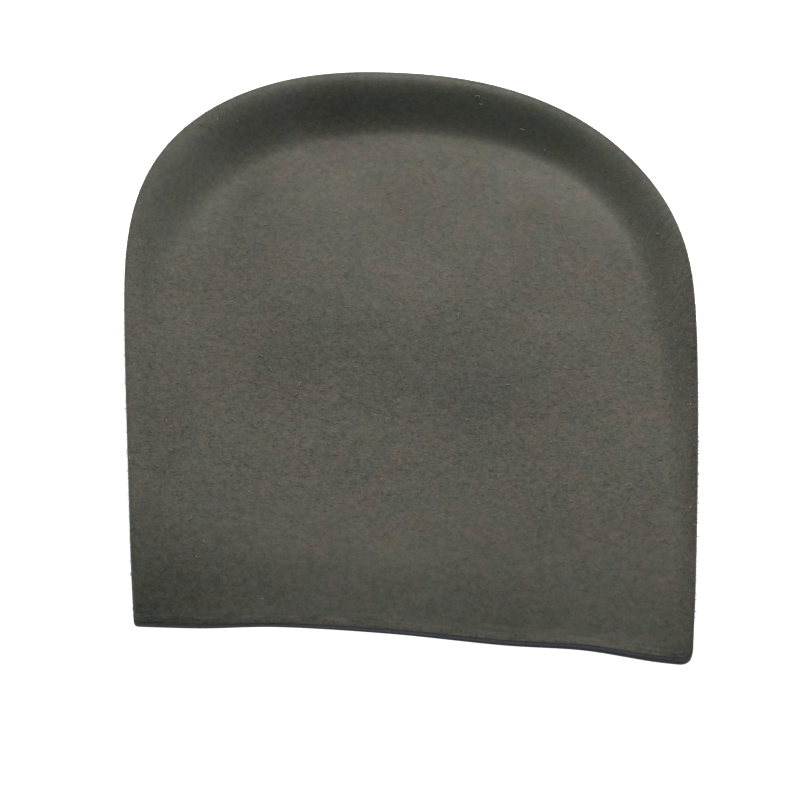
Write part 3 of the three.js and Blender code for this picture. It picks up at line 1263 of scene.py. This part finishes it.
    # Painted shade tint: the rim's shaded slopes are dyed greener.
    rim_green: float = 0.85
    rim_green_inset: float = 2.6
    rim_green_width: float = 3.2
    rim_green_along: Ease = Ease(-5.0, 20.0)
    steps: Steps = Steps(heel_quarter=110, side=70, corner=6, front=110)
    name: str = "cloth_cover"

    def upper_rings(self) -> list[np.ndarray]:
        """Lay the rings of the upper face.

        Returns:
            The rings, middle first.
        """
        edge = self.setback + self.edge_round
        crest = np.linspace(edge, self.crest_inset, self.crest_rings, endpoint=False)
        slope = np.linspace(self.crest_inset, self.foot_inset, self.slope_rings)
        outer = [self.form.ring(inset, self.steps) for inset in (*crest, *slope)]
        shares = np.linspace(*self.floor_shares, self.floor_rings)
        inner = [self.form.shrunk(outer[-1], share) for share in shares]
        return [*reversed(inner), *reversed(outer)]

    def edge_rings(self) -> list[np.ndarray]:
        """Lay the rings of the cut edge, which is round above and squarer below.

        Returns:
            The rings, top first.
        """
        rings = []
        for angle in self.edge_angles:
            fullness = math.cos(angle) ** (1.0 if angle > 0 else self.lower_squareness)
            rings.append(self.form.ring(self.setback + self.edge_round * (1 - fullness), self.steps))
        return rings

    def cut_edge(self, rings: Sequence[np.ndarray]) -> list[np.ndarray]:
        """Lift the rings of the cut edge to their heights.

        Args:
            rings: the edge's rings, top first.

        Returns:
            The points of each ring.
        """
        edge = []
        for angle, ring in zip(self.edge_angles, rings):
            top = self.form.top_height(ring)
            bottom = self.form.layer_height(ring, self.thickness)
            height = (top + bottom) / 2 + (top - bottom) / 2 * math.sin(angle)
            edge.append(np.column_stack([ring[:, :2], height]))
        return edge

    def tones(self, points: np.ndarray, depth: np.ndarray) -> dict[str, np.ndarray]:
        """Work out the painted light and shade and the greener painted shade tint on the nap, where it is
        smudged, and where it is smoother than its surroundings.

        Args:
            points: ring points of the upper face and the cut edge.
            depth: how far down the cut edge each point lies, from 0 to 1.

        Returns:
            Numbers for each point, by the name that the finish reads them under.
        """
        across, along, side_inset, _ = points.T
        # Painted light and shade from the front edge, the rim bands and the soft patches.
        lift = self.front_shade.lift(points, depth)
        lift += sum(band.weight(across, along, side_inset) for band in self.bands)
        lift += sum(patch.weight(across, along) for patch in self.patches)
        flattened = (self.front_flattening * self.front_flat.at(along)
                     + self.heel_flattening * self.heel_flat.at(along))
        # Painted shade tint, kept under the name green: greener on the rim's slopes and in the shaded
        # patches.
        green = self.rim_green * np.exp(-((side_inset - self.rim_green_inset) / self.rim_green_width) ** 2)
        green *= self.rim_green_along.at(along)
        green += sum(patch.weight(across, along) for patch in self.green_patches)
        return {
            "lift": lift,
            "smudge": self.mark.weight(across, along),
            "green": np.clip(green, 0, 1),
            "nap": 1 + self.raised_nap.weight(across, along) - flattened,
        }

    def build(self, rests_on: bpy.types.Object) -> list[bpy.types.Object]:
        """Make the cover and its fibres, dress them and place them on the frame.

        Args:
            rests_on: the gel piece under it; not used.

        Returns:
            The finished pieces.
        """
        rings = self.upper_rings()
        upper = []
        for ring in rings:
            points = np.column_stack([ring[:, :2], self.form.top_height(ring)])
            points[:, 2] += sum(wave.at(points) for wave in self.unevenness)
            upper.append(points)
        edge_rings = self.edge_rings()
        edge = self.cut_edge(edge_rings)
        lower = self.form.layer(self.lower_insets, self.lower_shares, self.thickness, self.steps)
        first = upper[0].mean(axis=0, keepdims=True)
        last = lower[-1].mean(axis=0, keepdims=True)
        piece = lofted_piece(self.name, first, [*upper, *edge, *lower], last)
        ring_count = len(rings[0])
        edge_start = 1 + len(rings) * ring_count
        middle = np.array([[0.0, 0.0, self.form.width / 2, self.form.length / 2]])
        faced = np.vstack([middle, *rings, *edge_rings])
        depth = np.zeros(len(faced))
        depth[edge_start:] = np.repeat(np.linspace(self.shallowest_cut, 1, len(edge_rings)), ring_count)
        for layer, values in self.tones(faced, depth).items():
            whole = np.zeros(len(piece.data.vertices))
            whole[:len(values)] = values
            store(piece, layer, whole)
        piece.data.materials.append(self.finish.paint())
        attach(piece, BODY)
        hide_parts("top_cover")
        fringed = range(*(edge_start + ring * ring_count for ring in self.fringed_rings))
        fibres = self.fibres.build(piece, len(rings) * ring_count, fringed)
        return [piece, fibres]


@dataclass
class GelBody:
    """The moulded gel under the cover, with its outer wall and flat underside."""

    form: PadForm
    finish: MouldedGel = MouldedGel()
    cover_depth: float = 1.15
    cover_setback: float = 0.15
    deepest_tuck: float = 3.0
    # Lint and painted light at the seam: how far down the wall it reaches, and how much is left on the
    # left and towards the heel.
    lint_depth: float = 0.19
    left_lint: float = 0.78
    rear_lint: float = 0.5
    to_left: Ease = Ease(-4.0, -8.0)
    to_rear: Ease = Ease(-36.0, 4.0)
    top_insets: tuple[float, ...] = (0.45, 0.9, 1.5, 2.1, 2.8, 3.6, 4.6, 5.6, 6.8, 9.5)
    top_shares: tuple[float, ...] = (0.8, 0.58, 0.36, 0.15)
    steps: Steps = Steps(heel_quarter=80, side=50, corner=6, front=80)
    wall_rows: tuple[WallRow, ...] = (
        WallRow(0.0, 0.32),
        WallRow(0.07, 0.16),
        WallRow(0.22, 0.05),
        WallRow(0.5, 0.0),
        WallRow(0.86, 0.02),
    )
    wall_levels: tuple[float, ...] = (
        0.94, 0.86, 0.7, 0.55, 0.42, 0.3, 0.22, 0.15, 0.1, 0.06, 0.03, 0.01, 0.0)
    name: str = "gel_body"

    def top_rings(self) -> list[np.ndarray]:
        """Return the points of the face under the cover, middle first."""
        insets = (self.cover_setback, *self.top_insets)
        return self.form.layer(insets, self.top_shares, self.cover_depth, self.steps)[::-1]

    def wall_rings(self, top: np.ndarray) -> list[np.ndarray]:
        """Lay the outer wall, from below its top edge to the underside.

        Args:
            top: points of the top edge.

        Returns:
            The points of each level, top first.
        """
        tuck_at = table_curve(self.wall_rows, "left", "tuck")
        widest = self.form.ring(0.0, self.steps)[:, :2]
        tucked = self.form.ring(self.deepest_tuck, self.steps)[:, :2]
        rings = []
        for left in self.wall_levels:
            share = (tuck_at(left) * top[:, 2] / self.deepest_tuck)[:, None]
            plan = widest + (tucked - widest) * share
            rings.append(np.column_stack([plan, top[:, 2] * left]))
        return rings

    def lint(self, top: Sequence[np.ndarray], wall: Sequence[np.ndarray]) -> np.ndarray:
        """Work out how much lint and painted light lies on the gel: most at the front seam, where the
        cover's edge shades it, less on its left.

        Args:
            top: points of the face under the cover.
            wall: points down the outer wall.

        Returns:
            A share for each point, face first.
        """
        below = [*(np.zeros(len(ring)) for ring in top), *(top[-1][:, 2] - ring[:, 2] for ring in wall)]
        across, along, _ = np.vstack([*top, *wall]).T
        left = 1 + (self.left_lint - 1) * self.to_left.at(across)
        rear = 1 + (self.rear_lint - 1) * self.to_rear.at(along)
        return smooth(1 - np.concatenate(below) / self.lint_depth) * left * rear

    def build(self) -> bpy.types.Object:
        """Make the gel body, dress it and place it on the frame.

        Returns:
            The finished piece.
        """
        top = self.top_rings()
        wall = self.wall_rings(top[-1])
        first = top[0].mean(axis=0, keepdims=True)
        piece = lofted_piece(self.name, first, [*top, *wall], np.zeros((1, 3)))
        # Lint and painted light at the seam, for the finish to read.
        store(piece, "lint", np.concatenate([[1.0], self.lint(top, wall), [0.0]]))
        piece.data.materials.append(self.finish.paint())
        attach(piece, BODY)
        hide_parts("gel_base")
        return piece


@dataclass(frozen=True)
class SoftBox:
    """A studio lamp: its place, size and aim in millimetres, and its power in watts."""

    name: str
    place: tuple[float, float, float]
    size: float
    power: float
    tint: tuple[float, float, float] = (1.0, 1.0, 1.0)
    aim: tuple[float, float, float] = (0.0, 0.0, 5.0)

    def build(self) -> bpy.types.Object:
        """Hang the lamp.

        Returns:
            The lamp.
        """
        data = bpy.data.lights.new(self.name, "AREA")
        data.color = self.tint
        data.shape = "DISK"
        data.size = self.size * MM
        data.energy = self.power
        lamp = bpy.data.objects.new(self.name, data)
        lamp.location = Vector(self.place) * MM
        beam = Vector(self.aim) - Vector(self.place)
        lamp.rotation_euler = beam.to_track_quat("-Z", "Y").to_euler()
        bpy.context.scene.collection.objects.link(lamp)
        return lamp


@dataclass
class Studio:
    """Pale floor, soft light from behind and the right, and the camera."""

    azimuth: float = 2.1
    elevation: float = 47.25
    distance: float = 202.5
    view_angle: float = 24.0
    near_clip: float = 10.0
    aim: tuple[float, float, float] = (-0.1, -9.28, 4.0)
    floor_size: float = 6000.0
    floor_colour: Colour = (0.93, 0.93, 0.93, 1.0)
    floor_rough: float = 0.9
    floor_specular: float = 0.1
    floor_glow: float = 0.92
    sky: float = 0.08
    lamps: tuple[SoftBox, ...] = (
        SoftBox("back_lamp", (0.0, 139.0, 102.0), 90.0, 0.185),
        SoftBox("high_lamp", (26.0, 170.0, 250.0), 130.0, 0.6),
        SoftBox("front_fill", (-40.0, -139.0, 102.0), 100.0, 0.058, (0.84, 1.0, 0.95)),
    )

    def build_floor(self) -> None:
        """Lay the floor."""
        half = self.floor_size / 2
        corners = np.array([(-half, -half, 0), (half, -half, 0), (half, half, 0), (-half, half, 0)])
        floor = new_piece("floor", corners, [range(len(corners))])
        paint = Paint("floor_white")
        paint.finish({
            "Base Color": self.floor_colour,
            "Roughness": self.floor_rough,
            "Specular IOR Level": self.floor_specular,
            "Emission Color": WHITE,
            "Emission Strength": self.floor_glow,
        })
        floor.data.materials.append(paint.material)

    def build_camera(self) -> None:
        """Set the camera at the viewing angle."""
        data = bpy.data.cameras.new("camera")
        data.angle = math.radians(self.view_angle)
        data.clip_start = self.near_clip * MM
        turn, rise = math.radians(self.azimuth), math.radians(self.elevation)
        flat = math.cos(rise)
        back = Vector((math.sin(turn) * flat, -math.cos(turn) * flat, math.sin(rise)))
        camera = bpy.data.objects.new("camera", data)
        camera.location = (Vector(self.aim) + back * self.distance) * MM
        camera.rotation_euler = (-back).to_track_quat("-Z", "Y").to_euler()
        bpy.context.scene.collection.objects.link(camera)
        bpy.context.scene.camera = camera

    def build(self) -> None:
        """Make the floor, the light and the camera."""
        scene = bpy.context.scene
        scene.view_settings.view_transform = "Standard"
        world = bpy.data.worlds.new("studio")
        world.use_nodes = True
        background = world.node_tree.nodes["Background"]
        background.inputs["Color"].default_value = WHITE
        background.inputs["Strength"].default_value = self.sky
        scene.world = world
        for lamp in self.lamps:
            lamp.build()
        self.build_floor()
        self.build_camera()


def main() -> None:
    """Build the pad and its studio, and report each piece."""
    logging.basicConfig(level=logging.INFO, format="%(message)s")
    form = PadForm()
    gel = GelBody(form).build()
    for piece in (gel, *ClothCover(form).build(gel)):
        LOG.info("%s: %d faces", piece.name, len(piece.data.polygons))
    Studio().build()


if __name__ == "__main__":
    main()
